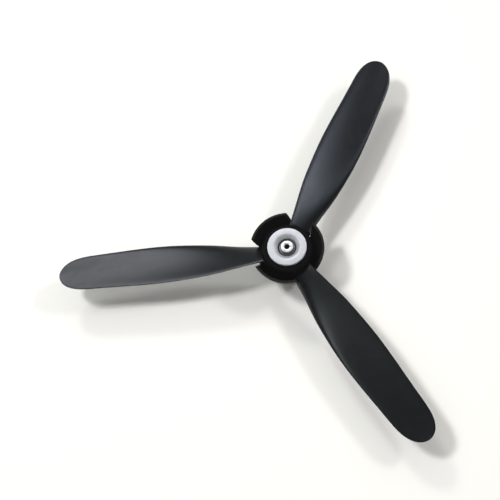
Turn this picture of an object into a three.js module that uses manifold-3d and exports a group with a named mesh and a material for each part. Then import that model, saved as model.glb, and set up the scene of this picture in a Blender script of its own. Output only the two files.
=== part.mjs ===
// Three-blade propeller for a radio-controlled model aeroplane: separate blades held in a
// two-piece hub, a collet adapter that grips the motor shaft, and a hollow nose spinner.
// Millimetres. +Z is the propeller's axis, pointing back towards the motor, so the spinner's
// nose points down. Z = 0 is the rear face of the drive washer, which the motor side meets.
import * as THREE from 'three';
import { mergeVertices } from 'three/addons/utils/BufferGeometryUtils.js';
import Module from 'manifold-3d';

const wasm = await Module();
wasm.setup();

// ---- Driving dimensions -------------------------------------------------------------------
const BLADE_COUNT = 3;
const FIRST_BLADE_ANGLE = Math.PI / 3;
const TIP_RADIUS = 88.9;
const PITCH = 76.2;
const SHAFT_BORE_RADIUS = 1.0;
const CLEARANCE = 0.3;

// Places along the axis.
const PROP_PLANE = -8;
const SPINNER_RIM = -1.3;
const HUB_REAR_FACE = -1.7;
const HUB_FRONT_FACE = -13.5;

// Hub.
const HUB_RADIUS = 9.6;
const HUB_BORE_RADIUS = 3.8;
const HUB_CHAMFER = 0.6;
const SPIGOT_RADIUS = 4.4;
const SPIGOT_END = -3.9;

// Blade root: a square foot on a round stem, captured between the hub halves.
const FOOT_INNER = 5.6;
const FOOT_THICKNESS = 1.1;
const FOOT_WIDTH = 6.2;
const STEM_RADIUS = 1.6;
const BLADE_INNER_RADIUS = HUB_RADIUS + CLEARANCE;
const STEM_END = BLADE_INNER_RADIUS + 0.7;

// Hub screws.
const SCREW_CIRCLE_RADIUS = 6.3;
const SCREW_SHANK_RADIUS = 1.0;
const SCREW_HEAD_RADIUS = 1.9;
const SCREW_HEAD_HEIGHT = 1.2;
const SCREW_TIP = -3.6;

// Collet, washer and nut on the front thread.
const COLLET_SHANK_RADIUS = 2.5;
const COLLET_NECK_RADIUS = 2.35;
const COLLET_CONE_RADIUS = 3.1;
const COLLET_SHOULDER = -1.7;
const CONE_REAR = -2.2;
const COLLET_FRONT_END = -19.8;
const COLLET_SLIT_WIDTH = 0.2;
const WASHER_RADIUS = 5.0;
const WASHER_THICKNESS = 0.8;
const NUT_ACROSS_FLATS = 8;
const NUT_HEIGHT = 4;
const NUT_CHAMFER = 0.45;

// Drive washer.
const DRIVE_WASHER_RADIUS = 7.5;
const DRIVE_WASHER_THICKNESS = 1.4;
const DISH_RADIUS = 4.9;
const DISH_FLOOR_RADIUS = 3.5;
const DISH_DEPTH = 1.0;

// Spinner.
const SPINNER_RADIUS = 14.2;
const SPINNER_WALL = 1.0;
const SPINNER_LENGTH = 26;
const SPINNER_APEX_LENGTH = 31;
const SPINNER_CURVE = 1.25;
const SPINNER_BLUNTNESS = 0.75;
const SPINNER_FLOOR = COLLET_FRONT_END - CLEARANCE;
const NOTCH_LOW_SIDE = -3.95;
const NOTCH_HIGH_SIDE = 7.2;
const NOTCH_DEPTH = 10.9;
const NOTCH_SLANT = 0.43;
const NOTCH_CORNER = 2;

// Spinner screw.
const SPINNER_SCREW_RADIUS = 1.5;
const SPINNER_SCREW_HEAD_RADIUS = 2.75;
const SPINNER_SCREW_HEAD_HEIGHT = 2.4;
const HEAD_SEAT = -24.3;
const SPINNER_SCREW_TIP = -15.9;

// Facets around turned pieces.
const LARGE_TURN = 48;
const SMALL_TURN = 32;

// ---- Materials ----------------------------------------------------------------------------
const material = (color, roughness, metalness) =>
  new THREE.MeshStandardMaterial({ color, roughness, metalness });

const BLADE_PLASTIC = material(0x2b2d30, 0.5, 0);
const HUB_PLASTIC = material(0x17181a, 0.6, 0);
const SPINNER_PLASTIC = material(0x141414, 0.45, 0);
const BUSH_NYLON = material(0xd8d6cc, 0.5, 0);
const TURNED_ALUMINIUM = material(0xcdced2, 0.32, 1);
const STEEL = material(0x9a9ca0, 0.3, 1);
const BLACK_STEEL = material(0x26272a, 0.4, 1);

// ---- Solids -------------------------------------------------------------------------------
// A closed geometry as a solid that can be joined and cut.
function solidOf(geometry) {
  const bare = geometry.clone();
  bare.deleteAttribute('normal');
  bare.deleteAttribute('uv');
  const merged = mergeVertices(bare, 1e-4);
  return new wasm.Manifold(new wasm.Mesh({
    numProp: 3,
    vertProperties: Float32Array.from(merged.attributes.position.array),
    triVerts: Uint32Array.from(merged.index.array),
  }));
}

function geometryOf(solid) {
  const { vertProperties, triVerts } = solid.getMesh();
  const geometry = new THREE.BufferGeometry();
  geometry.setAttribute('position', new THREE.BufferAttribute(vertProperties, 3));
  geometry.setIndex(new THREE.BufferAttribute(triVerts, 1));
  geometry.computeVertexNormals();
  return geometry;
}

function cut(body, ...tools) {
  return tools.reduce((rest, tool) => rest.subtract(tool), body);
}

// A profile of [radius, z] points turned about Z.
function turned(profile, facets) {
  const points = profile.map(([radius, z]) => new THREE.Vector2(radius, z));
  return new THREE.LatheGeometry(points, facets).rotateX(Math.PI / 2);
}

// A round bar along Z between two heights, given the lower one first.
function bar(radius, bottom, top, facets = SMALL_TURN) {
  return turned([[0, bottom], [radius, bottom], [radius, top], [0, top]], facets);
}

// A ring about Z between two heights, given the lower one first.
function ring(inner, outer, bottom, top, facets = LARGE_TURN) {
  const corners = [[inner, bottom], [outer, bottom], [outer, top], [inner, top], [inner, bottom]];
  return turned(corners, facets);
}

// A shape in the XY plane given thickness along Z from the lower height.
function prism(shape, bottom, top) {
  const options = { depth: top - bottom, bevelEnabled: false };
  return new THREE.ExtrudeGeometry(shape, options).translate(0, 0, bottom);
}

function hexagon(acrossFlats) {
  const cornerRadius = acrossFlats / Math.sqrt(3);
  const corners = Array.from({ length: 6 }, (_, i) => {
    const angle = (i * Math.PI) / 3;
    return new THREE.Vector2(cornerRadius * Math.cos(angle), cornerRadius * Math.sin(angle));
  });
  return new THREE.Shape(corners);
}

const bladeAngle = (index) => FIRST_BLADE_ANGLE + (index * 2 * Math.PI) / BLADE_COUNT;
const screwAngle = (index) => bladeAngle(index) + Math.PI / BLADE_COUNT;
const everyBlade = Array.from({ length: BLADE_COUNT }, (_, index) => index);

// ---- Blade --------------------------------------------------------------------------------
// Half of the blade's width, seen along the axis, against radius.
const HALF_WIDTH = new THREE.SplineCurve([
  new THREE.Vector2(5, 2.75),
  new THREE.Vector2(18, 5.0),
  new THREE.Vector2(31, 7.1),
  new THREE.Vector2(49, 8.2),
  new THREE.Vector2(71, 7.45),
  new THREE.Vector2(TIP_RADIUS, 6.6),
]);
const TIP_ROUND_START = 0.85 * TIP_RADIUS;
const TIP_ROUND_POWER = 3;
const ROOT_PITCH_RADIUS = 8;
const ROOT_SWEEP = 0.9;
const ROOT_SWEEP_REACH = 12;
const TIP_SWEEP = 5.15;
const SWEEP_POWER = 1.5;
const ROOT_THICKNESS = 6.6;
const TIP_THICKNESS = 1.0;
const THICKNESS_POWER = 3.2;
const EDGE_THICKNESS = 0.5;
const CAMBER = 0.035;
const SECTION_STEPS = 9;
const LENGTH_STEPS = 17;
const TIP_STEPS = 8;
const TIP_START_PLACE = 0.84;
const TIP_END_PLACE = 0.9995;

// How far the middle of the blade trails behind the blade's axis.
function sweep(radius) {
  const fromRoot = ROOT_SWEEP * (1 - Math.exp(-((radius / ROOT_SWEEP_REACH) ** 2)));
  return fromRoot + TIP_SWEEP * (radius / TIP_RADIUS) ** SWEEP_POWER;
}

// Rise over run of the blade's face; the helix is relaxed near the hub.
const faceSlope = (radius) => PITCH / (2 * Math.PI * Math.hypot(radius, ROOT_PITCH_RADIUS));

function bladeThickness(radius) {
  const toTip = 1 - radius / TIP_RADIUS;
  return TIP_THICKNESS + (ROOT_THICKNESS - TIP_THICKNESS) * toTip ** THICKNESS_POWER;
}

function tipRounding(radius) {
  const along = (radius - TIP_ROUND_START) / (TIP_RADIUS - TIP_ROUND_START);
  return Math.sqrt(1 - Math.max(along, 0) ** TIP_ROUND_POWER);
}

// Half thickness of an aerofoil of unit thickness at a fraction of its chord.
function aerofoilHalf(x) {
  return 5 * (0.2969 * Math.sqrt(x) - 0.126 * x - 0.3516 * x ** 2 + 0.2843 * x ** 3 - 0.1036 * x ** 4);
}

// One closed section, in the plane across the blade's axis at a radius.
function bladeSection(radius, halfWidth) {
  const slope = faceSlope(radius);
  const cosine = 1 / Math.hypot(1, slope);
  const sine = slope * cosine;
  const halfChord = halfWidth / cosine;
  const thickness = bladeThickness(radius) * (0.4 + 0.6 * tipRounding(radius));
  const middle = sweep(radius) / cosine;
  const pointAt = (fraction, side) => {
    const across = 2 * fraction - 1;
    const edge = (EDGE_THICKNESS / 2) * Math.sqrt(Math.max(1 - across ** 8, 0));
    const half = edge + aerofoilHalf(fraction) * (thickness - EDGE_THICKNESS);
    const chord = middle + across * halfChord;
    const height = CAMBER * 2 * halfChord * (1 - across ** 2) + side * half;
    return [radius, chord * cosine + height * sine, chord * sine - height * cosine];
  };
  const fractions = Array.from({ length: SECTION_STEPS + 1 }, (_, i) =>
    (1 - Math.cos((i * Math.PI) / SECTION_STEPS)) / 2);
  const front = fractions.map((fraction) => pointAt(fraction, 1));
  const rear = fractions.slice(1, -1).reverse().map((fraction) => pointAt(fraction, -1));
  return [...front, ...rear];
}

// Places along the half-width curve, closer together where the tip rounds off.
function bladeStations() {
  const inner = Array.from({ length: LENGTH_STEPS }, (_, i) => (TIP_START_PLACE * i) / LENGTH_STEPS);
  const outer = Array.from({ length: TIP_STEPS + 1 }, (_, i) => {
    const share = Math.sin((i * Math.PI) / 2 / TIP_STEPS);
    return TIP_START_PLACE + (TIP_END_PLACE - TIP_START_PLACE) * share;
  });
  return [...inner, ...outer];
}

// Triangles across one end of a loft, between the points that face each other.
function endCap(count, start, outwards) {
  const triangles = [];
  const add = (a, b, c) => triangles.push(...(outwards ? [a, b, c] : [a, c, b]));
  for (let i = 0; i < count / 2; i += 1) {
    const [near, far] = [start + i, start + ((count - i) % count)];
    const [nextNear, nextFar] = [start + i + 1, start + count - i - 1];
    if (near !== far) add(near, nextNear, far);
    if (nextNear !== nextFar) add(far, nextNear, nextFar);
  }
  return triangles;
}

// A closed skin over rings of equal, even point count.
function loft(rings) {
  const count = rings[0].length;
  const lastRow = (rings.length - 1) * count;
  const indices = [...endCap(count, 0, false), ...endCap(count, lastRow, true)];
  for (let row = 0; row < lastRow; row += count) {
    for (let i = 0; i < count; i += 1) {
      const next = (i + 1) % count;
      indices.push(row + i, row + next, row + count + next);
      indices.push(row + i, row + count + next, row + count + i);
    }
  }
  const geometry = new THREE.BufferGeometry();
  geometry.setAttribute('position', new THREE.Float32BufferAttribute(rings.flat(2), 3));
  geometry.setIndex(indices);
  return geometry;
}

// A foot and stem along X, grown by a margin so that it can also cut its own pocket.
function bladeRoot(margin) {
  const width = FOOT_WIDTH + 2 * margin;
  const thickness = FOOT_THICKNESS + 2 * margin;
  const foot = new THREE.BoxGeometry(thickness, width, width)
    .translate(FOOT_INNER + FOOT_THICKNESS / 2, 0, 0);
  const stem = bar(STEM_RADIUS + margin, FOOT_INNER, STEM_END).rotateY(Math.PI / 2);
  return solidOf(foot).add(solidOf(stem));
}

function bladeGeometry() {
  const sections = bladeStations().map((place) => {
    const { x: radius, y: halfWidth } = HALF_WIDTH.getPoint(place);
    return bladeSection(radius, halfWidth * tipRounding(radius));
  });
  const hubSpace = solidOf(bar(BLADE_INNER_RADIUS, -20, 20, LARGE_TURN));
  return geometryOf(cut(solidOf(loft(sections)), hubSpace).add(bladeRoot(0)));
}

// ---- Hub ----------------------------------------------------------------------------------
// The pockets for the blade roots, in the hub's place.
function rootPockets() {
  return everyBlade.map((index) => solidOf(geometryOf(bladeRoot(CLEARANCE))
    .rotateZ(bladeAngle(index))
    .translate(0, 0, PROP_PLANE)));
}

function onScrewCircle(geometry, index) {
  const angle = screwAngle(index);
  const place = [SCREW_CIRCLE_RADIUS * Math.cos(angle), SCREW_CIRCLE_RADIUS * Math.sin(angle)];
  return geometry.translate(place[0], place[1], 0);
}

function screwHoles(bottom, top, radius) {
  return everyBlade.map((index) => solidOf(onScrewCircle(bar(radius, bottom, top), index)));
}

function hubRearGeometry() {
  const split = PROP_PLANE + CLEARANCE / 2;
  const counterboreRadius = SPIGOT_RADIUS + CLEARANCE;
  const counterboreFloor = SPIGOT_END - CLEARANCE;
  const body = solidOf(turned([
    [HUB_BORE_RADIUS, split],
    [HUB_RADIUS, split],
    [HUB_RADIUS, HUB_REAR_FACE - HUB_CHAMFER],
    [HUB_RADIUS - HUB_CHAMFER, HUB_REAR_FACE],
    [counterboreRadius, HUB_REAR_FACE],
    [counterboreRadius, counterboreFloor],
    [HUB_BORE_RADIUS, counterboreFloor],
    [HUB_BORE_RADIUS, split],
  ], LARGE_TURN));
  const holes = screwHoles(split - 1, SCREW_TIP + CLEARANCE, SCREW_SHANK_RADIUS + CLEARANCE);
  return geometryOf(cut(body, ...rootPockets(), ...holes));
}

function hubFrontGeometry() {
  const split = PROP_PLANE - CLEARANCE / 2;
  const headFloor = HUB_FRONT_FACE + SCREW_HEAD_HEIGHT + CLEARANCE;
  const body = solidOf(turned([
    [HUB_BORE_RADIUS, HUB_FRONT_FACE],
    [HUB_RADIUS - HUB_CHAMFER, HUB_FRONT_FACE],
    [HUB_RADIUS, HUB_FRONT_FACE + HUB_CHAMFER],
    [HUB_RADIUS, split],
    [HUB_BORE_RADIUS, split],
    [HUB_BORE_RADIUS, HUB_FRONT_FACE],
  ], LARGE_TURN));
  const holes = screwHoles(headFloor - 1, split + 1, SCREW_SHANK_RADIUS + CLEARANCE);
  const headPockets = screwHoles(HUB_FRONT_FACE - 1, headFloor, SCREW_HEAD_RADIUS + CLEARANCE);
  return geometryOf(cut(body, ...rootPockets(), ...holes, ...headPockets));
}

// A screw pointing up, with a hexagonal socket in its head.
function socketScrew(shankRadius, headRadius, headBottom, headTop, tip, socket) {
  const edge = 0.2;
  const body = solidOf(turned([
    [0, headBottom],
    [headRadius - edge, headBottom],
    [headRadius, headBottom + edge],
    [headRadius, headTop],
    [shankRadius, headTop],
    [shankRadius, tip - edge],
    [shankRadius - edge, tip],
    [0, tip],
  ], SMALL_TURN));
  const recess = solidOf(prism(hexagon(socket), headBottom - 1, headBottom + (headTop - headBottom) / 2));
  return geometryOf(cut(body, recess));
}

function hubScrewGeometry(index) {
  const headBottom = HUB_FRONT_FACE + 0.1;
  const headTop = headBottom + SCREW_HEAD_HEIGHT - 0.1;
  const screw = socketScrew(SCREW_SHANK_RADIUS, SCREW_HEAD_RADIUS, headBottom, headTop, SCREW_TIP, 1.5);
  return onScrewCircle(screw, index);
}

function boreBushGeometry() {
  const inner = COLLET_SHANK_RADIUS + CLEARANCE;
  const outer = HUB_BORE_RADIUS - CLEARANCE;
  return ring(inner, outer, HUB_FRONT_FACE + CLEARANCE, SPIGOT_END - 2 * CLEARANCE, SMALL_TURN);
}

// ---- Collet adapter -----------------------------------------------------------------------
function colletGeometry() {
  const rearEnd = -0.1;
  const boreEnd = -12;
  const threadHoleRadius = SPINNER_SCREW_RADIUS + CLEARANCE;
  const threadHoleEnd = SPINNER_SCREW_TIP + 0.5;
  const body = solidOf(turned([
    [0, boreEnd],
    [SHAFT_BORE_RADIUS, boreEnd],
    [SHAFT_BORE_RADIUS, rearEnd - 0.15],
    [SHAFT_BORE_RADIUS + 0.15, rearEnd],
    [COLLET_NECK_RADIUS - 0.15, rearEnd],
    [COLLET_NECK_RADIUS, rearEnd - 0.15],
    [COLLET_NECK_RADIUS, COLLET_SHOULDER],
    [COLLET_CONE_RADIUS, COLLET_SHOULDER],
    [COLLET_CONE_RADIUS, CONE_REAR],
    [COLLET_SHANK_RADIUS, SPIGOT_END],
    [COLLET_SHANK_RADIUS, COLLET_FRONT_END + 0.4],
    [COLLET_SHANK_RADIUS - 0.4, COLLET_FRONT_END],
    [threadHoleRadius, COLLET_FRONT_END],
    [threadHoleRadius, threadHoleEnd],
    [0, threadHoleEnd],
  ].reverse(), SMALL_TURN));
  const slitFloor = -8;
  const slits = everyBlade.map((index) => solidOf(
    new THREE.BoxGeometry(COLLET_CONE_RADIUS + 1, COLLET_SLIT_WIDTH, 1 - slitFloor)
      .translate((COLLET_CONE_RADIUS + 1) / 2, 0, (1 + slitFloor) / 2)
      .rotateZ(screwAngle(index))));
  return geometryOf(cut(body, ...slits));
}

function driveWasherGeometry() {
  const flangeFront = -DRIVE_WASHER_THICKNESS;
  const coneGap = CLEARANCE + 0.06;
  return turned([
    [DRIVE_WASHER_RADIUS, flangeFront],
    [DRIVE_WASHER_RADIUS, -0.25],
    [DRIVE_WASHER_RADIUS - 0.25, 0],
    [DISH_RADIUS + 0.15, 0],
    [DISH_RADIUS, -0.1],
    [DISH_FLOOR_RADIUS, -DISH_DEPTH],
    [COLLET_CONE_RADIUS + coneGap, CONE_REAR],
    [COLLET_SHANK_RADIUS + coneGap, SPIGOT_END],
    [SPIGOT_RADIUS, SPIGOT_END],
    [SPIGOT_RADIUS, flangeFront],
    [DRIVE_WASHER_RADIUS, flangeFront],
  ], 64);
}

const WASHER_REAR = HUB_FRONT_FACE - CLEARANCE;
const WASHER_FRONT = WASHER_REAR - WASHER_THICKNESS;
const NUT_REAR = WASHER_FRONT - CLEARANCE;
const NUT_FRONT = NUT_REAR - NUT_HEIGHT;

function frontWasherGeometry() {
  return ring(COLLET_SHANK_RADIUS + CLEARANCE, WASHER_RADIUS, WASHER_FRONT, WASHER_REAR, SMALL_TURN);
}

function propNutGeometry() {
  const cornerRadius = NUT_ACROSS_FLATS / Math.sqrt(3);
  const faceRadius = cornerRadius - 2 * NUT_CHAMFER;
  const chamfered = solidOf(turned([
    [0, NUT_FRONT],
    [faceRadius, NUT_FRONT],
    [cornerRadius, NUT_FRONT + NUT_CHAMFER],
    [cornerRadius, NUT_REAR - NUT_CHAMFER],
    [faceRadius, NUT_REAR],
    [0, NUT_REAR],
  ], LARGE_TURN));
  const hex = solidOf(prism(hexagon(NUT_ACROSS_FLATS), NUT_FRONT, NUT_REAR));
  const bore = solidOf(bar(COLLET_SHANK_RADIUS + CLEARANCE, NUT_FRONT - 1, NUT_REAR + 1));
  return geometryOf(cut(hex.intersect(chamfered), bore));
}

// ---- Spinner ------------------------------------------------------------------------------
const spinnerRadiusAt = (depth) => {
  const share = (depth / SPINNER_APEX_LENGTH) ** SPINNER_CURVE;
  return SPINNER_RADIUS * (1 - share) ** SPINNER_BLUNTNESS;
};

// Points down the wall from one depth below the rim to another.
function spinnerWall(from, to, steps, inset) {
  return Array.from({ length: steps + 1 }, (_, i) => {
    const depth = from + ((to - from) * i) / steps;
    return [spinnerRadiusAt(depth) - inset, SPINNER_RIM - depth];
  });
}

// A slot across the wall as a bar along X. Its high side slants under the blade's root.
function notchTool() {
  const rise = 2;
  const low = NOTCH_LOW_SIDE;
  const high = (depth) => NOTCH_HIGH_SIDE - NOTCH_SLANT * depth;
  const turnDepth = NOTCH_DEPTH - NOTCH_CORNER;
  const shape = new THREE.Shape();
  shape.moveTo(low, rise);
  shape.lineTo(low, -turnDepth);
  shape.quadraticCurveTo(low, -NOTCH_DEPTH, low + NOTCH_CORNER, -NOTCH_DEPTH);
  shape.lineTo(high(NOTCH_DEPTH) - NOTCH_CORNER, -NOTCH_DEPTH);
  shape.quadraticCurveTo(high(NOTCH_DEPTH), -NOTCH_DEPTH, high(turnDepth), -turnDepth);
  shape.lineTo(high(-rise), rise);
  const slot = new THREE.ExtrudeGeometry(shape, { depth: 12, bevelEnabled: false, curveSegments: 5 });
  const upright = new THREE.Matrix4().makeBasis(
    new THREE.Vector3(0, 1, 0),
    new THREE.Vector3(0, 0, 1),
    new THREE.Vector3(1, 0, 0),
  );
  return slot.applyMatrix4(upright).translate(5, 0, SPINNER_RIM);
}

function spinnerGeometry() {
  const tip = SPINNER_RIM - SPINNER_LENGTH;
  const noseRound = 0.4;
  const outer = spinnerWall(0, SPINNER_LENGTH - noseRound, 14, 0);
  const inner = spinnerWall(0, SPINNER_RIM - SPINNER_FLOOR, 10, SPINNER_WALL).reverse();
  const headPocketRadius = SPINNER_SCREW_HEAD_RADIUS + CLEARANCE + 0.05;
  const screwHoleRadius = SPINNER_SCREW_RADIUS + CLEARANCE;
  const pocketFloor = HEAD_SEAT + CLEARANCE;
  const shell = solidOf(turned([
    ...outer,
    [spinnerRadiusAt(SPINNER_LENGTH) - noseRound, tip],
    [headPocketRadius, tip],
    [headPocketRadius, pocketFloor],
    [screwHoleRadius, pocketFloor],
    [screwHoleRadius, SPINNER_FLOOR],
    ...inner,
    outer[0],
  ].reverse(), LARGE_TURN));
  const notches = everyBlade.map((index) => solidOf(notchTool().rotateZ(bladeAngle(index))));
  return geometryOf(cut(shell, ...notches));
}

function spinnerScrewGeometry() {
  const headBottom = HEAD_SEAT - SPINNER_SCREW_HEAD_HEIGHT;
  return socketScrew(SPINNER_SCREW_RADIUS, SPINNER_SCREW_HEAD_RADIUS, headBottom, HEAD_SEAT,
    SPINNER_SCREW_TIP, 2.5);
}

// ---- Assembly -----------------------------------------------------------------------------
const propeller = new THREE.Group();

function place(name, geometry, finish, parent = propeller) {
  const mesh = new THREE.Mesh(geometry, finish);
  mesh.name = name;
  parent.add(mesh);
}

const blades = new THREE.Group();
blades.position.z = PROP_PLANE;
propeller.add(blades);
everyBlade.forEach((index) => {
  const holder = new THREE.Group();
  holder.rotation.z = bladeAngle(index);
  blades.add(holder);
  place(`blade_${index + 1}`, bladeGeometry(), BLADE_PLASTIC, holder);
});

place('hub_rear', hubRearGeometry(), HUB_PLASTIC);
place('hub_front', hubFrontGeometry(), HUB_PLASTIC);
everyBlade.forEach((index) => {
  place(`hub_screw_${index + 1}`, hubScrewGeometry(index), BLACK_STEEL);
});
place('bore_bush', boreBushGeometry(), BUSH_NYLON);
place('drive_washer', driveWasherGeometry(), TURNED_ALUMINIUM);
place('collet', colletGeometry(), TURNED_ALUMINIUM);
place('front_washer', frontWasherGeometry(), STEEL);
place('prop_nut', propNutGeometry(), STEEL);
place('spinner_shell', spinnerGeometry(), SPINNER_PLASTIC);
place('spinner_screw', spinnerScrewGeometry(), STEEL);

export default propeller;
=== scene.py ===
"""Looks for the three-blade propeller: fine blades, spinner, hub and adapter around the frame.

Lengths in this script are millimetres in the part's frame; mesh_object() turns them into metres.
"""

import math

import bmesh
import bpy
from mathutils import Matrix, Vector


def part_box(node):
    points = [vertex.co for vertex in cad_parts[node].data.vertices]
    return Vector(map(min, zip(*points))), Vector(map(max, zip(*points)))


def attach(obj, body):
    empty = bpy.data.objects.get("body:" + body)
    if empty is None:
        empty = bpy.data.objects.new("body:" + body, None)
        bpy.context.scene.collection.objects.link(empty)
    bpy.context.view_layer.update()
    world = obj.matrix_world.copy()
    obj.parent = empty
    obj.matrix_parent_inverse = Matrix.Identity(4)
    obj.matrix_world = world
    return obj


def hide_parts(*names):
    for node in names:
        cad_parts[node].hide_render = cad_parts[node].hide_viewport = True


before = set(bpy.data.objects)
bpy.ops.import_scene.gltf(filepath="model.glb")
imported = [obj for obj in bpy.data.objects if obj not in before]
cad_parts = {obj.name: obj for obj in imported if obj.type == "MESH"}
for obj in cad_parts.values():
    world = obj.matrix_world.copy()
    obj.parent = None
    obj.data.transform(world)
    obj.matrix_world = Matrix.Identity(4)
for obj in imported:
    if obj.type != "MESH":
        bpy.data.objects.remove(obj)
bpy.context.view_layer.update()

MM = 0.001
TAU = 2 * math.pi


def node_box(node):
    """A CAD node's lowest and highest corners, in millimetres."""
    low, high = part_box(node)
    return low / MM, high / MM


# ---- Sizes, from the frame where it holds them ------------------------------------------------
BLADES = ["blade_1", "blade_2", "blade_3"]
BLADE_ANGLES = [math.radians(60 + 120 * index) for index in range(3)]
SCREW_ANGLES = [angle + math.pi / 3 for angle in BLADE_ANGLES]
TIP_RADIUS = 88.9
PITCH = 76.2
PROP_PLANE = -8.0
GAP = 0.3

HUB_RADIUS = node_box("hub_rear")[1].x
HUB_REAR = node_box("hub_rear")[1].z
HUB_REAR_SPLIT = node_box("hub_rear")[0].z
HUB_FRONT_SPLIT = node_box("hub_front")[1].z
HUB_FRONT = node_box("hub_front")[0].z
HUB_BORE = 3.8
SPIGOT_RADIUS = 4.4
SPIGOT_END = node_box("drive_washer")[0].z
DISC_RADIUS = node_box("drive_washer")[1].x
COLLET_REAR = node_box("collet")[1].z
COLLET_FRONT = node_box("collet")[0].z
SHANK_RADIUS = 2.5
CONE_REAR = -2.2
SPINNER_RIM = node_box("spinner_shell")[1].z
SPINNER_TIP = node_box("spinner_shell")[0].z
SPINNER_RADIUS = 14.2


# ---- Mesh helpers -----------------------------------------------------------------------------
def scene_object(name, data):
    """A new object in the scene that holds a mesh, lamp or camera."""
    made = bpy.data.objects.new(name, data)
    bpy.context.scene.collection.objects.link(made)
    return made


def mesh_object(name, points, faces, smooth_angle=40):
    """A new object from points in millimetres."""
    mesh = bpy.data.meshes.new(name)
    mesh.from_pydata([tuple(c * MM for c in p) for p in points], [], faces)
    mesh.validate()
    work = bmesh.new()
    work.from_mesh(mesh)
    bmesh.ops.remove_doubles(work, verts=work.verts, dist=1e-7)
    bmesh.ops.recalc_face_normals(work, faces=work.faces)
    work.to_mesh(mesh)
    work.free()
    mesh.shade_smooth()
    mesh.set_sharp_from_angle(angle=math.radians(smooth_angle))
    return scene_object(name, mesh)


def band_quad(upper, lower, column, columns):
    """One quad between two rings of points that start at upper and lower."""
    following = (column + 1) % columns
    return (upper + column, upper + following, lower + following, lower + column)


def grid_faces(rows, columns):
    """Quads between closed rings of points, one ring to a row."""
    return [band_quad(row * columns, (row + 1) * columns, column, columns)
            for row in range(rows - 1) for column in range(columns)]


def turned(name, profile, steps=128, smooth_angle=40):
    """A profile of (radius, z) turned about Z. It closes on itself or starts and ends on the axis."""
    points = []
    for radius, z in profile:
        for step in range(steps):
            angle = TAU * step / steps
            points.append((radius * math.cos(angle), radius * math.sin(angle), z))
    faces = grid_faces(len(profile), steps)
    return mesh_object(name, points, faces, smooth_angle)


def arc(centre, radius, start, end, steps):
    """Points on an arc in (radius, z), angles in degrees."""
    return [(centre[0] + radius * math.cos(math.radians(start + (end - start) * i / steps)),
             centre[1] + radius * math.sin(math.radians(start + (end - start) * i / steps)))
            for i in range(steps + 1)]


def rounded(corners, radius):
    """A closed profile with each corner eased by a small curve."""
    steps = 3
    eased = []
    count = len(corners)
    for index, corner in enumerate(corners):
        here = Vector(corner)
        before = Vector(corners[index - 1]) - here
        after = Vector(corners[(index + 1) % count]) - here
        reach = min(radius, before.length / 2.2, after.length / 2.2)
        start = here + before.normalized() * reach
        end = here + after.normalized() * reach
        for step in range(steps + 1):
            t = step / steps
            point = start * (1 - t) ** 2 + here * 2 * t * (1 - t) + end * t ** 2
            eased.append(tuple(point))
    return eased + eased[:1]


def turned_ring(name, corners, easing, steps=128):
    """A ring about Z whose section has these corners, each eased."""
    return turned(name, rounded(corners, easing), steps)


def apply_modifiers(piece):
    """Turns a piece's modifiers into its mesh."""
    depsgraph = bpy.context.evaluated_depsgraph_get()
    result = bpy.data.meshes.new_from_object(piece.evaluated_get(depsgraph))
    piece.modifiers.clear()
    piece.data = result


def boolean(piece, tools, operation="DIFFERENCE"):
    """Cuts or joins a piece with tool objects, which are then removed."""
    for tool in tools:
        modifier = piece.modifiers.new("cut", "BOOLEAN")
        modifier.operation = operation
        modifier.solver = "EXACT"
        modifier.object = tool
        apply_modifiers(piece)
        bpy.data.objects.remove(tool)
    piece.data.shade_smooth()
    piece.data.set_sharp_from_angle(angle=math.radians(40))


def bevel(piece, width, angle=40):
    """Eases the piece's edges that are sharper than an angle in degrees."""
    modifier = piece.modifiers.new("edges", "BEVEL")
    modifier.width = width * MM
    modifier.segments = 2
    modifier.limit_method = "ANGLE"
    modifier.angle_limit = math.radians(angle)
    modifier.harden_normals = True
    return piece


def block_tool(name, size, centre, easing=0.0):
    """A block, size and centre in millimetres, with its edges eased if asked."""
    work = bmesh.new()
    bmesh.ops.create_cube(work, size=1.0)
    bmesh.ops.scale(work, vec=Vector(size) * MM, verts=work.verts)
    bmesh.ops.translate(work, vec=Vector(centre) * MM, verts=work.verts)
    if easing:
        bmesh.ops.bevel(work, geom=work.edges, offset=easing * MM, segments=3, profile=0.5,
                        affect="EDGES")
    mesh = bpy.data.meshes.new(name)
    work.to_mesh(mesh)
    work.free()
    return scene_object(name, mesh)


def bar_tool(radius, start, end, turn):
    """A round cutting bar along X turned about Z, at the height of the propeller's plane."""
    piece = turned("tool", [(0, start), (radius, start), (radius, end), (0, end)], 48)
    spin = Matrix.Rotation(turn, 4, "Z") @ Matrix.Rotation(math.pi / 2, 4, "Y")
    piece.data.transform(Matrix.Translation((0, 0, PROP_PLANE * MM)) @ spin)
    return piece


def upright_tool(radius, bottom, top, place):
    """A round cutting bar along Z at a place in x and y."""
    piece = turned("tool", [(0, bottom), (radius, bottom), (radius, top), (0, top)], 48)
    piece.data.transform(Matrix.Translation((place[0] * MM, place[1] * MM, 0)))
    return piece


def finish_piece(piece, body, node, material):
    """Gives a piece its material and body, and hides the CAD node it stands in for."""
    piece.data.materials.clear()
    piece.data.materials.append(material)
    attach(piece, body)
    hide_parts(node)


# ---- Materials --------------------------------------------------------------------------------
def new_material(name, colour, roughness, metallic=0.0):
    """A principled material; returns it with its node tree and its shader."""
    material = bpy.data.materials.new(name)
    material.use_nodes = True
    tree = material.node_tree
    shader = tree.nodes["Principled BSDF"]
    shader.inputs["Base Color"].default_value = (*colour, 1)
    shader.inputs["Roughness"].default_value = roughness
    shader.inputs["Metallic"].default_value = metallic
    return material, tree, shader


def node(tree, kind, **values):
    """A new shader node; each value goes to the input of that name, or else to the node itself."""
    made = tree.nodes.new(kind)
    for key, value in values.items():
        if key in made.inputs:
            made.inputs[key].default_value = value
        else:
            setattr(made, key, value)
    return made


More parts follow.
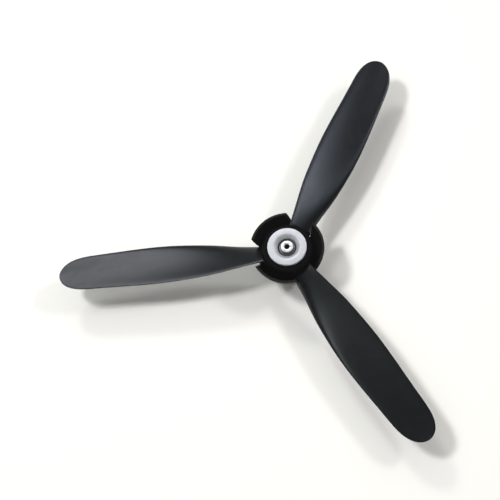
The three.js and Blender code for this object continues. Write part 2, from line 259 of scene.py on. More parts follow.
def noise(tree, vector, scale, detail=3.0, roughness=0.5):
    """A noise texture's value, from 0 to 1."""
    made = node(tree, "ShaderNodeTexNoise", Scale=scale, Detail=detail, Roughness=roughness)
    tree.links.new(vector, made.inputs["Vector"])
    return made.outputs["Fac"]


def ramp(tree, value, stops):
    """A colour ramp through (place, colour) stops."""
    made = node(tree, "ShaderNodeValToRGB")
    elements = made.color_ramp.elements
    while len(elements) < len(stops):
        elements.new(0.5)
    for element, (place, colour) in zip(elements, stops):
        element.position = place
        element.color = (*colour, 1)
    tree.links.new(value, made.inputs["Fac"])
    return made.outputs["Color"]


def map_range(tree, value, start, end, low, high):
    """A value from start to end mapped to low to high, and held beyond them."""
    made = node(tree, "ShaderNodeMapRange")
    made.inputs["From Min"].default_value = start
    made.inputs["From Max"].default_value = end
    made.inputs["To Min"].default_value = low
    made.inputs["To Max"].default_value = high
    tree.links.new(value, made.inputs["Value"])
    return made.outputs["Result"]


def spread(tree, value, low, high):
    """A value from 0 to 1 mapped to low to high."""
    return map_range(tree, value, 0, 1, low, high)


def multiply(tree, first, second):
    """The product of two values."""
    made = node(tree, "ShaderNodeMath", operation="MULTIPLY")
    tree.links.new(first, made.inputs[0])
    tree.links.new(second, made.inputs[1])
    return made.outputs[0]


def bump(tree, shader, height, distance, below=None):
    """Raises the surface by height times distance, over any earlier bump."""
    made = node(tree, "ShaderNodeBump", Strength=1.0, Distance=distance * MM)
    tree.links.new(height, made.inputs["Height"])
    if below is not None:
        tree.links.new(below, made.inputs["Normal"])
    tree.links.new(made.outputs["Normal"], shader.inputs["Normal"])
    return made.outputs["Normal"]


def upward(tree):
    """How far a direction from the world's centre points up, 0 level to 1 overhead."""
    split = node(tree, "ShaderNodeSeparateXYZ")
    tree.links.new(node(tree, "ShaderNodeTexCoord").outputs["Generated"], split.inputs[0])
    return split.outputs["Z"]


def object_space(tree):
    """Places on the piece, in metres from the frame's origin."""
    return node(tree, "ShaderNodeTexCoord").outputs["Object"]


def moulded_plastic(name, dark, light, roughness, grain, sink, specular=0.5):
    """Dark moulded plastic: cloudy colour, uneven gloss, fine grain and faint sink marks."""
    material, tree, shader = new_material(name, dark, roughness)
    place = object_space(tree)
    clouds = noise(tree, place, 90, 4)
    tree.links.new(ramp(tree, clouds, [(0.3, dark), (0.7, light)]), shader.inputs["Base Color"])
    gloss = noise(tree, place, 420, 5, 0.65)
    tree.links.new(spread(tree, gloss, roughness - 0.07, roughness + 0.07), shader.inputs["Roughness"])
    waves = bump(tree, shader, noise(tree, place, 60, 2), sink)
    bump(tree, shader, noise(tree, place, 1400, 3, 0.6), grain, below=waves)
    shader.inputs["IOR"].default_value = 1.44
    shader.inputs["Specular IOR Level"].default_value = specular
    return material


# Painted shade inside the dish fades out between these heights.
PAINTED_SHADE_FLOOR = -1.0
PAINTED_SHADE_TOP = -0.3
# How much the painted highlight brightens the disc's outer edge.
PAINTED_EDGE_HIGHLIGHT = 1.35


def turned_metal(name, colour, roughness, shine, ring_scale, ring_depth, painted_shade):
    """Metal with tool marks round the axis, painted shade that darkens it inside the dish and a painted
    highlight at the disc's edge.
    """
    material, tree, shader = new_material(name, colour, roughness, metallic=shine)
    place = object_space(tree)
    flat = node(tree, "ShaderNodeVectorMath", operation="MULTIPLY")
    flat.inputs[1].default_value = (1, 1, 0)
    tree.links.new(place, flat.inputs[0])
    reach = node(tree, "ShaderNodeVectorMath", operation="LENGTH")
    tree.links.new(flat.outputs[0], reach.inputs[0])
    split = node(tree, "ShaderNodeSeparateXYZ")
    tree.links.new(place, split.inputs[0])
    rings = node(tree, "ShaderNodeCombineXYZ")
    tree.links.new(reach.outputs["Value"], rings.inputs["X"])
    tree.links.new(split.outputs["Z"], rings.inputs["Y"])
    marks = noise(tree, rings.outputs[0], ring_scale, 4, 0.7)
    patches = noise(tree, place, 300, 3)
    dark = tuple(0.82 * c for c in colour)
    shade = ramp(tree, marks, [(0.3, dark), (0.6, colour)])
    # Painted shade: the colour darkens towards the bottom of the dish, down to the given factor.
    depth = map_range(tree, split.outputs["Z"], PAINTED_SHADE_FLOOR * MM, PAINTED_SHADE_TOP * MM, painted_shade, 1)
    # Painted highlight: the colour brightens at the disc's outer chamfer.
    edge = map_range(tree, reach.outputs["Value"], (DISC_RADIUS - 0.45) * MM,
                     (DISC_RADIUS - 0.2) * MM, 1, PAINTED_EDGE_HIGHLIGHT)
    mottle = spread(tree, noise(tree, place, 600, 4, 0.6), 0.8, 1.12)
    # Painted shade and painted highlight, times a random mottle in tone, scale the base colour.
    painted_light_and_mottle = multiply(tree, multiply(tree, depth, edge), mottle)
    colour_with_painted_light = node(tree, "ShaderNodeVectorMath", operation="SCALE")
    tree.links.new(shade, colour_with_painted_light.inputs[0])
    tree.links.new(painted_light_and_mottle, colour_with_painted_light.inputs["Scale"])
    tree.links.new(colour_with_painted_light.outputs[0], shader.inputs["Base Color"])
    tree.links.new(spread(tree, patches, roughness - 0.06, roughness + 0.08), shader.inputs["Roughness"])
    bump(tree, shader, marks, ring_depth)
    return material


def plated_steel(name, colour, roughness):
    """Plated or blackened fastener steel with small scuffs."""
    material, tree, shader = new_material(name, colour, roughness, metallic=1.0)
    place = object_space(tree)
    scuffs = noise(tree, place, 900, 6, 0.7)
    dark = tuple(0.7 * c for c in colour)
    tree.links.new(ramp(tree, scuffs, [(0.35, dark), (0.6, colour)]), shader.inputs["Base Color"])
    tree.links.new(spread(tree, scuffs, roughness + 0.12, roughness - 0.08), shader.inputs["Roughness"])
    bump(tree, shader, scuffs, 0.004)
    return material


BLADE_PLASTIC = moulded_plastic(
    "blade plastic", dark=(0.0020, 0.0028, 0.0036), light=(0.0030, 0.0039, 0.0051),
    roughness=0.31, grain=0.01, sink=0.02)
HUB_PLASTIC = moulded_plastic(
    "hub plastic", dark=(0.0018, 0.0018, 0.0022), light=(0.0026, 0.0026, 0.0032),
    roughness=0.55, grain=0.003, sink=0.01, specular=0.05)
SPINNER_PLASTIC = moulded_plastic(
    "spinner plastic", dark=(0.007, 0.0066, 0.0066), light=(0.010, 0.009, 0.0085),
    roughness=0.45, grain=0.002, sink=0.02, specular=0.12)
NYLON = moulded_plastic(
    "natural nylon", dark=(0.58, 0.56, 0.49), light=(0.68, 0.66, 0.59),
    roughness=0.5, grain=0.002, sink=0.01)
# The last setting of each is the painted shade in the dish: slight on the washer, strong on the collet's
# neck and shoulder.
ALUMINIUM = turned_metal(
    "turned aluminium", (0.615, 0.62, 0.63), roughness=0.48, shine=0.65,
    ring_scale=9000, ring_depth=0.004, painted_shade=0.85)
BRIGHT_ALUMINIUM = turned_metal(
    "bright aluminium", (0.86, 0.87, 0.88), roughness=0.42, shine=0.8,
    ring_scale=9000, ring_depth=0.003, painted_shade=0.2)
ZINC = plated_steel("zinc plated steel", (0.56, 0.57, 0.60), roughness=0.26)
BLACK_STEEL = plated_steel("black oxide steel", (0.03, 0.03, 0.032), roughness=0.38)


# ---- Blades -----------------------------------------------------------------------------------
HALF_WIDTH_POINTS = [(5, 2.75), (18, 5.0), (31, 7.1), (49, 8.2), (71, 7.45), (TIP_RADIUS, 6.6)]
TIP_ROUND_START = 0.85 * TIP_RADIUS
BLADE_INNER = HUB_RADIUS + GAP
SECTION_STEPS = 30
ROOT_ROUND = 1.5
ROOT_HUG = 6
PITCH_EASE = 8
EDGE_THICKNESS = 0.5
ROOT_EXTRA_THICKNESS = 5.6
THICKNESS_FALL = 3.2
TIP_THINNESS = 0.4
CAMBER = 0.035
ROOT_SWEEP = 0.9
ROOT_SWEEP_REACH = 12
TIP_SWEEP = 5.15
# Places on the half-width curve where the root's, middle's and tip's sections start, and the last.
ROOT_PLACE = 0.083
MIDDLE_PLACE = 0.116
TIP_PLACE = 0.84
LAST_PLACE = 0.9997
ROOT_SECTIONS = 14
MIDDLE_SECTIONS = 70
TIP_SECTIONS = 26
STEM_RADIUS = 1.6
STEM_START = 5.7
STEM_END = 10.6
FOOT_SIZE = (1.1, 6.2, 6.2)
FOOT_PLACE = (6.15, 0, 0)


def spline_point(points, place):
    """A uniform Catmull-Rom curve through the points, at a place from 0 to 1."""
    along = place * (len(points) - 1)
    index = min(int(along), len(points) - 2)
    t = along - index
    p0, p1 = points[max(index - 1, 0)], points[index]
    p2, p3 = points[index + 1], points[min(index + 2, len(points) - 1)]
    if index == 0:
        p0 = p1
    if index == len(points) - 2:
        p3 = p2
    return tuple(
        0.5 * (2 * b + (c - a) * t + (2 * a - 5 * b + 4 * c - d) * t ** 2
               + (3 * b - a - 3 * c + d) * t ** 3)
        for a, b, c, d in zip(p0, p1, p2, p3))


def sweep(radius):
    """How far the middle of the blade trails behind the blade's axis."""
    near_root = ROOT_SWEEP * (1 - math.exp(-(radius / ROOT_SWEEP_REACH) ** 2))
    return near_root + TIP_SWEEP * (radius / TIP_RADIUS) ** 1.5


def aerofoil_half(x):
    """Half the thickness of a four-digit aerofoil, per unit of thickness, at a part x of its chord."""
    return 5 * (0.2969 * math.sqrt(x) - 0.126 * x - 0.3516 * x ** 2 + 0.2843 * x ** 3 - 0.1036 * x ** 4)


def tip_rounding(radius):
    """How much of the blade's width is left as its tip rounds off, from 1 to 0."""
    along = max((radius - TIP_ROUND_START) / (TIP_RADIUS - TIP_ROUND_START), 0)
    return math.sqrt(max(1 - along ** 3, 0))


def blade_section(radius, half_width, thinning):
    """One section's points across the blade's axis, which lies along X."""
    slope = PITCH / (TAU * math.hypot(radius, PITCH_EASE))
    cosine = 1 / math.hypot(1, slope)
    sine = slope * cosine
    half_chord = half_width / cosine
    thickness = 1 + ROOT_EXTRA_THICKNESS * (1 - radius / TIP_RADIUS) ** THICKNESS_FALL
    thickness *= TIP_THINNESS + (1 - TIP_THINNESS) * tip_rounding(radius)
    middle = sweep(radius) / cosine
    points = []
    for step in range(2 * SECTION_STEPS):
        fraction = (1 - math.cos(math.pi * step / SECTION_STEPS)) / 2
        side = 1 if step < SECTION_STEPS else -1
        across = 2 * fraction - 1
        edge = EDGE_THICKNESS / 2 * math.sqrt(max(1 - across ** 8, 0))
        half = (edge + aerofoil_half(fraction) * (thickness - EDGE_THICKNESS)) * thinning
        chord = middle + across * half_chord
        height = CAMBER * 2 * half_chord * (1 - across ** 2) + side * half
        points.append((radius, chord * cosine + height * sine, chord * sine - height * cosine))
    return points


def blade_stations():
    """Each section's place on the half-width curve, closer together at the root and the tip."""
    root = [ROOT_PLACE + (MIDDLE_PLACE - ROOT_PLACE) * (i / ROOT_SECTIONS) ** 1.6
            for i in range(ROOT_SECTIONS)]
    middle = [MIDDLE_PLACE + (TIP_PLACE - MIDDLE_PLACE) * i / MIDDLE_SECTIONS
              for i in range(MIDDLE_SECTIONS)]
    tip = [TIP_PLACE + (LAST_PLACE - TIP_PLACE) * math.sin(math.pi / 2 * i / TIP_SECTIONS)
           for i in range(TIP_SECTIONS + 1)]
    return root + middle + tip


def blade_skin():
    """The blade outside the hub, its inner end hugging the hub's barrel."""
    points = []
    stations = blade_stations()
    first_radius = spline_point(HALF_WIDTH_POINTS, stations[0])[0]
    for place in stations:
        radius, half_width = spline_point(HALF_WIDTH_POINTS, place)
        from_hub = radius - first_radius
        rounding = math.sqrt(1 - (1 - min(from_hub / ROOT_ROUND, 1)) ** 2)
        section = blade_section(radius, half_width * tip_rounding(radius), 0.85 + 0.15 * rounding)
        hug = max(1 - from_hub / ROOT_HUG, 0) ** 2
        for x, across, height in section:
            barrel = math.sqrt(max(BLADE_INNER ** 2 - across ** 2, 1))
            points.append((x - (first_radius - barrel) * hug, across, height))
    ring = 2 * SECTION_STEPS
    faces = grid_faces(len(stations), ring)
    last = (len(stations) - 1) * ring
    for start, flip in ((0, True), (last, False)):
        for i in range(SECTION_STEPS):
            corners = [start + i, start + i + 1, start + ring - i - 1, start + (ring - i) % ring]
            corners = list(dict.fromkeys(corners))
            faces.append(tuple(reversed(corners)) if flip else tuple(corners))
    return points, faces


def blade_foot():
    """The square foot and round stem that sit in the hub."""
    stem = turned("foot", [(0, STEM_START), (STEM_RADIUS, STEM_START), (STEM_RADIUS, STEM_END - 0.2),
                           (STEM_RADIUS - 0.2, STEM_END), (0, STEM_END)], 48)
    stem.data.transform(Matrix.Rotation(math.pi / 2, 4, "Y"))
    boolean(stem, [block_tool("block", FOOT_SIZE, FOOT_PLACE, 0.25)], "UNION")
    return stem


def make_blades():
    """Three turned copies of one moulding."""
    points, faces = blade_skin()
    master = mesh_object("blade master", points, faces, 50)
    boolean(master, [blade_foot()], "UNION")
    for name, angle in zip(BLADES, BLADE_ANGLES):
        mesh = master.data.copy()
        turn = Matrix.Translation((0, 0, PROP_PLANE * MM)) @ Matrix.Rotation(angle, 4, "Z")
        mesh.transform(turn)
        piece = scene_object(f"{name}_moulding", mesh)
        finish_piece(piece, "root", name, BLADE_PLASTIC)
    bpy.data.objects.remove(master)


# ---- Hub --------------------------------------------------------------------------------------
HUB_CHAMFER = 0.6
SCREW_CIRCLE = 6.3
SCREW_SEAT_RADIUS = 2.2
SCREW_SEAT_DEPTH = 1.5
STEM_HOLE_RADIUS = STEM_RADIUS + GAP
SHANK_HOLE = SHANK_RADIUS + GAP
BUSH_OUTER = HUB_BORE - GAP


def on_screw_circle(angle):
    """A hub screw's place in x and y."""
    return (SCREW_CIRCLE * math.cos(angle), SCREW_CIRCLE * math.sin(angle))


def make_hub():
    """Both halves of the hub, with holes for the blades' stems, and the bush in its bore."""
    spigot = SPIGOT_RADIUS + GAP
    rear = turned_ring("hub_rear_half", [
        (HUB_BORE, HUB_REAR_SPLIT), (HUB_RADIUS, HUB_REAR_SPLIT),
        (HUB_RADIUS, HUB_REAR - HUB_CHAMFER), (HUB_RADIUS - HUB_CHAMFER, HUB_REAR),
        (spigot, HUB_REAR), (spigot, SPIGOT_END - GAP), (HUB_BORE, SPIGOT_END - GAP)], 0.25)
    front = turned_ring("hub_front_half", [
        (HUB_BORE, HUB_FRONT), (HUB_RADIUS - HUB_CHAMFER, HUB_FRONT),
        (HUB_RADIUS, HUB_FRONT + HUB_CHAMFER), (HUB_RADIUS, HUB_FRONT_SPLIT),
        (HUB_BORE, HUB_FRONT_SPLIT)], 0.25)
    for half in (rear, front):
        boolean(half, [bar_tool(STEM_HOLE_RADIUS, 5, 11, angle) for angle in BLADE_ANGLES])
    seats = [upright_tool(SCREW_SEAT_RADIUS, HUB_FRONT - 1, HUB_FRONT + SCREW_SEAT_DEPTH,
                          on_screw_circle(angle)) for angle in SCREW_ANGLES]
    boolean(front, seats)
    finish_piece(bevel(rear, 0.08), "root", "hub_rear", HUB_PLASTIC)
    finish_piece(bevel(front, 0.08), "root", "hub_front", HUB_PLASTIC)
    bush = turned_ring("bore_bush_ring", [
        (SHANK_HOLE, HUB_FRONT + GAP), (BUSH_OUTER, HUB_FRONT + GAP),
        (BUSH_OUTER, SPIGOT_END - 2 * GAP), (SHANK_HOLE, SPIGOT_END - 2 * GAP)], 0.15, 96)
    finish_piece(bush, "root", "bore_bush", NYLON)


# ---- Threads and fasteners --------------------------------------------------------------------
WASHER_RADIUS = 5.0
NUT_ACROSS_FLATS = 8
NUT_FACE_RADIUS = 3.6
NUT_CROWN_RADIUS = 1.42
NUT_CROWN_CENTRE = 3.2
NUT_CROWN_SET = 1.2
NUT_CORNER_SET = 1.1
M5_PITCH = 0.8
HEAD_ROUNDING = 0.22
SOCKET_DEPTH = 0.55
THREAD_RUNOUT = 0.3


def threaded_rows(radius, depth, pitch, low, high, steps=48, rows_per_turn=8):
    """Rows of points up a threaded rod; the thread fades out at both ends."""
    count = max(int((high - low) / pitch * rows_per_turn), 2)
    rows = []
    for row in range(count + 1):
        z = low + (high - low) * row / count
        fade = min((z - low) / pitch, (high - z) / pitch, 1)
        ring = []
        for step in range(steps):
            phase = (z / pitch - step / steps) % 1
            groove = abs(2 * phase - 1)
            crest = radius - depth * min(max(1.25 * groove - 0.1, 0), 1) * fade
            angle = TAU * step / steps
            ring.append((crest * math.cos(angle), crest * math.sin(angle), z))
        rows.append(ring)
    return rows


def flat_rows(profile, steps):
    """One flat ring of points for each (radius, z)."""
    return [[(r * math.cos(TAU * s / steps), r * math.sin(TAU * s / steps), z) for s in range(steps)]
            for r, z in profile]


def rod_object(name, rows, smooth_angle=40):
    """An object skinned over rings of points."""
    steps = len(rows[0])
    points = [point for row in rows for point in row]
    return mesh_object(name, points, grid_faces(len(rows), steps), smooth_angle)


def hex_tool(across_flats, bottom, top):
    """A hexagonal cutting bar along Z."""
    corner = across_flats / math.sqrt(3)
    profile = [(0, bottom), (corner, bottom), (corner, top), (0, top)]
    return turned("tool", profile, 6, 20)


def cap_screw(name, shank, thread_depth, pitch, head, head_bottom, head_top, tip, socket):
    """A socket screw that points up, with its thread modelled."""
    head_height = head_top - head_bottom
    ease = HEAD_ROUNDING * head_height
    steps = 48
    rows = flat_rows([(0, head_bottom)]
                     + arc((head - ease, head_bottom + ease), ease, -90, 0, 5)
                     + [(head, head_top - 0.06), (head - 0.06, head_top), (shank, head_top)], steps)
    rows += threaded_rows(shank, thread_depth, pitch, head_top + THREAD_RUNOUT, tip - THREAD_RUNOUT,
                          steps)
    rows += flat_rows([(shank - thread_depth, tip), (0, tip)], steps)
    piece = rod_object(name, rows, 35)
    boolean(piece, [hex_tool(socket, head_bottom - 1, head_bottom + SOCKET_DEPTH * head_height)])
    return bevel(piece, 0.04, 45)


def make_fasteners():
    """The hub screws, spinner screw and front washer."""
    for index, angle in enumerate(SCREW_ANGLES, start=1):
        low, high = node_box(f"hub_screw_{index}")
        screw = cap_screw(f"hub_screw_{index}_body", shank=1.0, thread_depth=0.22, pitch=0.8, head=1.9,
                          head_bottom=low.z, head_top=low.z + 1.1, tip=high.z, socket=1.5)
        x, y = on_screw_circle(angle)
        screw.data.transform(Matrix.Translation((x * MM, y * MM, 0)))
        finish_piece(screw, "root", f"hub_screw_{index}", BLACK_STEEL)
    low, high = node_box("spinner_screw")
    screw = cap_screw("spinner_screw_body", shank=1.5, thread_depth=0.28, pitch=0.5, head=2.75,
                      head_bottom=low.z, head_top=low.z + 2.4, tip=high.z, socket=2.5)
    finish_piece(screw, "spinner_screw", "spinner_screw", ZINC)
    low, high = node_box("front_washer")
    washer = turned_ring("front_washer_ring", [
        (SHANK_HOLE, low.z), (WASHER_RADIUS, low.z), (WASHER_RADIUS, high.z),
        (SHANK_HOLE, high.z)], 0.12, 96)
    finish_piece(washer, "root", "front_washer", ZINC)


def make_prop_nut():
    """A hexagonal nut with both crowns chamfered and its thread modelled."""
    low, high = node_box("prop_nut")
    corner = NUT_ACROSS_FLATS / math.sqrt(3)
    front_crown = arc((NUT_CROWN_CENTRE, low.z + NUT_CROWN_SET), NUT_CROWN_RADIUS, -58, -10, 5)
    rear_crown = arc((NUT_CROWN_CENTRE, high.z - NUT_CROWN_SET), NUT_CROWN_RADIUS, 10, 58, 5)
    crown = turned("prop_nut_hex", [
        (0, low.z), (NUT_FACE_RADIUS, low.z), *front_crown, (corner, low.z + NUT_CORNER_SET),
        (corner, high.z - NUT_CORNER_SET), *rear_crown, (NUT_FACE_RADIUS, high.z), (0, high.z)], 96)
    boolean(crown, [hex_tool(NUT_ACROSS_FLATS, low.z - 1, high.z + 1)], "INTERSECT")
    bottom, top = low.z - 0.4, high.z + 0.4
    thread = rod_object("tool", flat_rows([(0, bottom)], 48)
                        + threaded_rows(SHANK_HOLE, 0.25, M5_PITCH, bottom, top)
                        + flat_rows([(0, top)], 48))
    boolean(crown, [thread])
    finish_piece(bevel(crown, 0.06), "prop_nut", "prop_nut", ZINC)


# ---- Collet adapter ---------------------------------------------------------------------------
FLANGE_THICKNESS = 1.4
DISC_CHAMFER = 0.22
# The dish as (radius, z), from the flat ring to the cone's seat, and the seat below it.
DISH = [(5.2, 0), (4.75, -0.12), (3.55, -0.95)]
CONE_SEAT = [(3.46, CONE_REAR), (2.86, SPIGOT_END)]
CONE_RADIUS = 3.1
COLLET_SHOULDER = -1.7
NECK_RADIUS = 2.35
SHAFT_RADIUS = 1.0
SHAFT_HOLE_END = -12.0
SCREW_HOLE_RADIUS = 1.8
SCREW_HOLE_END = -15.4
THREAD_REAR = -8.5
SLIT_SIZE = (4.4, 0.15, 9)
SLIT_PLACE = (2.2, 0, -3.5)


def make_drive_washer():
    """The dished disc with its spigot."""
    disc = turned_ring("drive_washer_disc", [
        (DISC_RADIUS, -FLANGE_THICKNESS), (DISC_RADIUS, -DISC_CHAMFER), (DISC_RADIUS - DISC_CHAMFER, 0),
        *DISH, *CONE_SEAT, (SPIGOT_RADIUS, SPIGOT_END), (SPIGOT_RADIUS, -FLANGE_THICKNESS)], 0.2, 192)
    finish_piece(disc, "root", "drive_washer", ALUMINIUM)


def make_collet():
    """The threaded shank, split cone and neck, with the shaft's hole and the spinner screw's hole."""
    steps = 96
    front_end = [(0, SCREW_HOLE_END), (SCREW_HOLE_RADIUS, SCREW_HOLE_END),
                 (SCREW_HOLE_RADIUS, COLLET_FRONT + 0.2), (2.0, COLLET_FRONT), (2.15, COLLET_FRONT)]
    cone = [(SHANK_RADIUS, SPIGOT_END), (CONE_RADIUS, CONE_REAR), (CONE_RADIUS, COLLET_SHOULDER - 0.1),
            (CONE_RADIUS - 0.1, COLLET_SHOULDER)]
    neck = [(2.5, COLLET_SHOULDER), (2.38, COLLET_SHOULDER + 0.1), (NECK_RADIUS, COLLET_REAR - 0.15),
            (NECK_RADIUS - 0.04, COLLET_REAR - 0.05), (NECK_RADIUS - 0.15, COLLET_REAR)]
    shaft_hole = [(1.15, COLLET_REAR), (1.04, COLLET_REAR - 0.04), (SHAFT_RADIUS, COLLET_REAR - 0.15),
                  (SHAFT_RADIUS, SHAFT_HOLE_END), (0, SHAFT_HOLE_END)]
    rows = flat_rows(front_end, steps)
    rows += threaded_rows(SHANK_RADIUS, 0.35, M5_PITCH, COLLET_FRONT + 0.35, THREAD_REAR, steps)
    rows += flat_rows(cone + neck + shaft_hole, steps)
    collet = rod_object("collet_body", rows, 30)
    slits = []
    for angle in SCREW_ANGLES:
        slit = block_tool("slit", SLIT_SIZE, SLIT_PLACE)
        slit.data.transform(Matrix.Rotation(angle, 4, "Z"))
        slits.append(slit)
    boolean(collet, slits)
    finish_piece(collet, "collet", "collet", BRIGHT_ALUMINIUM)


# ---- Spinner ----------------------------------------------------------------------------------
NOTCH_DEPTH = 10.9
NOTCH_LOW_SIDE = -3.8
NOTCH_HIGH_SIDE = 7.2
NOTCH_SLANT = 0.43
NOTCH_CORNER = 2.0
SECTOR_COLUMNS = 40
NOTCH_COLUMNS = 22
BLADE_COLUMNS = NOTCH_COLUMNS + SECTOR_COLUMNS
NOTCH_ROWS = 22
CORNER_ROWS = 8
CLOSED_ROWS = 34
SPINNER_LENGTH = SPINNER_RIM - SPINNER_TIP
CURVE_LENGTH = 31
WALL = 1.0
NOSE_ROUND = 0.85
NOSE_REACH = 0.42
SCREW_SEAT = -24.0
SEAT_RADIUS = 3.1
SPINNER_HOLE = 1.8
RIM_EASING = 0.14


def spinner_radius(depth):
    """The spinner's outer radius at a depth in front of its rim."""
    return SPINNER_RADIUS * (1 - (max(depth, 0) / CURVE_LENGTH) ** 1.25) ** 0.75


def notch_edges(depth, radius):
    """The notch's two sides at a depth, as angles about Z from the blade's own angle."""
    near_floor = max(min(depth, NOTCH_DEPTH) - (NOTCH_DEPTH - NOTCH_CORNER), 0)
    corner = NOTCH_CORNER - math.sqrt(max(NOTCH_CORNER ** 2 - near_floor ** 2, 0))
    high_side = NOTCH_HIGH_SIDE - NOTCH_SLANT * min(depth, NOTCH_DEPTH)
    left = math.asin((NOTCH_LOW_SIDE + corner) / radius)
    right = math.asin((high_side - corner) / radius)
    return left, right


def spinner_depths():
    """Depths of the rows beside the notches, and of those from the notch floor to the nose."""
    turn_depth = NOTCH_DEPTH - NOTCH_CORNER
    straight = [turn_depth * i / NOTCH_ROWS for i in range(NOTCH_ROWS)]
    corners = [turn_depth + NOTCH_CORNER * math.sin(math.pi / 2 * i / CORNER_ROWS)
               for i in range(CORNER_ROWS)]
    closed_length = SPINNER_LENGTH - NOSE_REACH - NOTCH_DEPTH
    closed = [NOTCH_DEPTH + closed_length * i / CLOSED_ROWS for i in range(CLOSED_ROWS + 1)]
    return straight + corners, closed


def spinner_row(depth, inset):
    """One ring of points: for each blade its notch's columns, then the sector after it."""
    radius = spinner_radius(depth) - inset
    angles = []
    edge_radius = spinner_radius(min(depth, NOTCH_DEPTH)) - inset
    for blade_angle in BLADE_ANGLES:
        left, right = notch_edges(depth, edge_radius)
        for i in range(NOTCH_COLUMNS):
            angles.append(blade_angle + left + (right - left) * i / NOTCH_COLUMNS)
        for i in range(SECTOR_COLUMNS):
            angles.append(blade_angle + right + (left + TAU / 3 - right) * i / SECTOR_COLUMNS)
    z = SPINNER_RIM - depth
    return [(radius * math.cos(a), radius * math.sin(a), z) for a in angles]


def make_spinner():
    """Outer and inner walls as matching grids, open at the notches and joined along every edge."""
    open_depths, closed_depths = spinner_depths()
    depths = open_depths + closed_depths
    columns = 3 * BLADE_COLUMNS
    floor_z = COLLET_FRONT - GAP
    inner_depths = [d for d in depths if SPINNER_RIM - d > floor_z + 0.4]
    outer_rows = [spinner_row(d, 0) for d in depths]
    inner_rows = [spinner_row(d, WALL) for d in inner_depths]
    points = [p for row in outer_rows + inner_rows for p in row]
    inner_start = len(outer_rows) * columns
    notch_cells = {blade * BLADE_COLUMNS + i for blade in range(3) for i in range(NOTCH_COLUMNS)}
    faces = []
    open_rows = len(open_depths)

    def wall(start, rows):
        for row in range(rows - 1):
            for column in range(columns):
                if row < open_rows and column in notch_cells:
                    continue
                upper = start + row * columns
                faces.append(band_quad(upper, upper + columns, column, columns))

    def joined(first, second):
        faces.append((first, second, inner_start + second, inner_start + first))

    wall(0, len(outer_rows))
    wall(inner_start, len(inner_rows))
    for column in range(columns):
        following = (column + 1) % columns
        row = open_rows if column in notch_cells else 0
        joined(row * columns + column, row * columns + following)
    for blade in range(3):
        left = blade * BLADE_COLUMNS
        for column in (left, left + NOTCH_COLUMNS):
            for row in range(open_rows):
                joined(row * columns + column, (row + 1) * columns + column)
    add_nose(points, faces, columns, (len(outer_rows) - 1) * columns,
             inner_start + (len(inner_rows) - 1) * columns, floor_z)
    piece = mesh_object("spinner_cone", points, faces, 35)
    ease_rim(piece, SPINNER_RIM - NOTCH_DEPTH + NOTCH_CORNER)
    finish_piece(piece, "spinner", "spinner_shell", SPINNER_PLASTIC)


def ease_rim(piece, lowest):
    """Eases the sharp edges above a height: the rim and the straight sides of the notches."""
    work = bmesh.new()
    work.from_mesh(piece.data)
    weight = work.edges.layers.float.new("bevel_weight_edge")
    for edge in work.edges:
        sharp = len(edge.link_faces) == 2 and edge.calc_face_angle() > math.radians(45)
        if sharp and min(vertex.co.z for vertex in edge.verts) > (lowest - 0.01) * MM:
            edge[weight] = 1
    work.to_mesh(piece.data)
    work.free()
    bevel(piece, RIM_EASING).modifiers["edges"].limit_method = "WEIGHT"


def add_nose(points, faces, columns, outer_last, inner_last, floor_z):
    """Closes the walls with the rounded nose, the screw's seat and hole, and the inner floor."""
    angles = [math.atan2(points[outer_last + c][1], points[outer_last + c][0]) for c in range(columns)]
    rim_radius = spinner_radius(SPINNER_LENGTH - NOSE_REACH)
    lean = math.asin(1 - NOSE_REACH / NOSE_ROUND)
    profile = arc((rim_radius - NOSE_ROUND * math.cos(lean), SPINNER_TIP + NOSE_ROUND), NOSE_ROUND,
                  -math.degrees(lean), -90, 8)[1:]
    profile += [(SEAT_RADIUS + 0.15, SPINNER_TIP), (SEAT_RADIUS, SPINNER_TIP + 0.15),
                (SEAT_RADIUS, SCREW_SEAT), (SPINNER_HOLE, SCREW_SEAT), (SPINNER_HOLE, floor_z)]
    floor_radius = spinner_radius(SPINNER_RIM - floor_z) - WALL
    profile += [(floor_radius - 0.5, floor_z), (floor_radius - 0.15, floor_z + 0.1)]
    previous = outer_last
    for radius, z in profile:
        start = len(points)
        points.extend((radius * math.cos(a), radius * math.sin(a), z) for a in angles)
        faces.extend(band_quad(previous, start, column, columns) for column in range(columns))
        previous = start
    faces.extend(band_quad(previous, inner_last, column, columns) for column in range(columns))


# ---- Stage, lights and camera -----------------------------------------------------------------
FLOOR_Z = SPINNER_TIP - 0.05
GLARE = 0.0045
CAMERA_TILT = math.radians(20.5)
CAMERA_AZIMUTH = math.radians(-77.3)
CAMERA_DISTANCE = 492.5
CAMERA_TARGET = Vector((-14.7, 2.0, PROP_PLANE))
CAMERA_ROLL = math.radians(-0.5)
CAMERA_LENS = 91.8
FLOOR_HALF_SIDE = 450
FLOOR_COLOUR = (0.93, 0.915, 0.87)
FLOOR_ROUGHNESS = 0.6
LIGHT_DISTANCE = 800
# Lights for the floor, as (name, azimuth, elevation, size, power, colour). They don't show in gloss.
FLOOR_LIGHTS = [
    ("overhead", 0, 88, (1400, 1400), 5.0, (1.0, 0.995, 0.99)),
    ("key", 178, 70, (100, 100), 3.2, (0.98, 0.99, 1.01)),
    ("back", 118, 54, (120, 120), 1.15, (0.98, 1.02, 0.98)),
    ("right", 12, 56, (100, 100), 1.15, (1.0, 0.99, 0.99))]
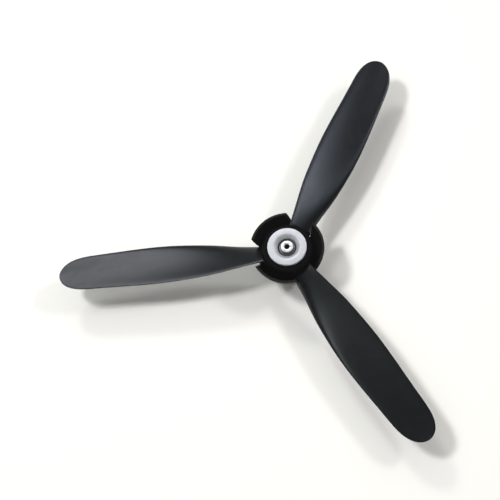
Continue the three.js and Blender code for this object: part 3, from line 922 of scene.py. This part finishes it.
# Lights that show only in gloss.
GLOSS_LIGHTS = [
    ("side", 174, 53, (100, 100), 1.2, (0.9, 1.0, 0.98)),
    ("window", 106, 51, (450, 300), 2.6, (0.95, 0.96, 1.04)),
    ("window_top", 103, 65, (200, 200), 0.15, (1, 1, 1)),
    ("lamp", 31, 46, (140, 140), 1.4, (0.85, 0.93, 1.08)),
    ("fill", 285, 60, (400, 400), 0.4, (1, 1, 1))]


def aim(thing, place, target, up=Vector((0, 1, 0))):
    """Puts a thing at a place in millimetres, its -Z towards the target and its Y near up."""
    back = (place - target).normalized()
    right = up.cross(back).normalized()
    over = back.cross(right)
    thing.matrix_world = Matrix.Translation(place * MM) @ Matrix((right, over, back)).transposed().to_4x4()


def make_camera():
    """The main camera: behind the propeller, about 20 degrees off its axis."""
    camera = scene_object("camera", bpy.data.cameras.new("camera"))
    camera.data.lens = CAMERA_LENS
    camera.data.sensor_width = 36
    camera.data.clip_start = 0.01
    direction = Vector((math.sin(CAMERA_TILT) * math.cos(CAMERA_AZIMUTH),
                        math.sin(CAMERA_TILT) * math.sin(CAMERA_AZIMUTH), math.cos(CAMERA_TILT)))
    up = Vector((-math.sin(CAMERA_ROLL), math.cos(CAMERA_ROLL), 0))
    aim(camera, CAMERA_TARGET + CAMERA_DISTANCE * direction, CAMERA_TARGET, up)
    bpy.context.scene.camera = camera


def area_light(name, azimuth, elevation, size, power, colour):
    """A rectangular light aimed at the frame's origin."""
    light = bpy.data.lights.new(name, "AREA")
    light.shape = "RECTANGLE"
    light.size = size[0] * MM
    light.size_y = size[1] * MM
    light.energy = power
    light.color = colour
    lamp = scene_object(name, light)
    around, up = math.radians(azimuth), math.radians(elevation)
    direction = Vector((math.cos(up) * math.cos(around), math.cos(up) * math.sin(around), math.sin(up)))
    place = direction * LIGHT_DISTANCE
    aim(lamp, place, Vector((0, 0, 0)), Vector((0, 0, 1)))
    return lamp


def make_surroundings():
    """Pale walls round the table under a dark ceiling."""
    world = bpy.data.worlds.new("studio")
    world.use_nodes = True
    tree = world.node_tree
    background = tree.nodes["Background"]
    background.inputs["Strength"].default_value = 1.0
    walls = ramp(tree, upward(tree), [(0.12, (0.87, 0.87, 0.87)), (0.35, (0, 0, 0))])
    tree.links.new(walls, background.inputs["Color"])
    bpy.context.scene.world = world


def set_view():
    """Plain colours, with the blacks lifted a little as glare in a lens does."""
    view = bpy.context.scene.view_settings
    view.view_transform = "Standard"
    view.use_curve_mapping = True
    view.curve_mapping.black_level = (-GLARE, -GLARE, -GLARE)
    view.curve_mapping.update()


def make_floor():
    """A plain pale table top just under the spinner's nose."""
    side = FLOOR_HALF_SIDE
    corners = [(-side, -side, FLOOR_Z), (side, -side, FLOOR_Z), (side, side, FLOOR_Z),
               (-side, side, FLOOR_Z)]
    floor = mesh_object("floor", corners, [(0, 1, 2, 3)])
    floor.data.materials.append(new_material("floor paint", FLOOR_COLOUR, FLOOR_ROUGHNESS)[0])


def make_lights():
    """One set of lights for the floor and one for the gloss."""
    for settings in FLOOR_LIGHTS:
        area_light(*settings).visible_glossy = False
    for settings in GLOSS_LIGHTS:
        area_light(*settings).visible_diffuse = False


make_blades()
make_hub()
make_fasteners()
make_prop_nut()
make_drive_washer()
make_collet()
make_spinner()
set_view()
make_floor()
make_surroundings()
make_lights()
make_camera()
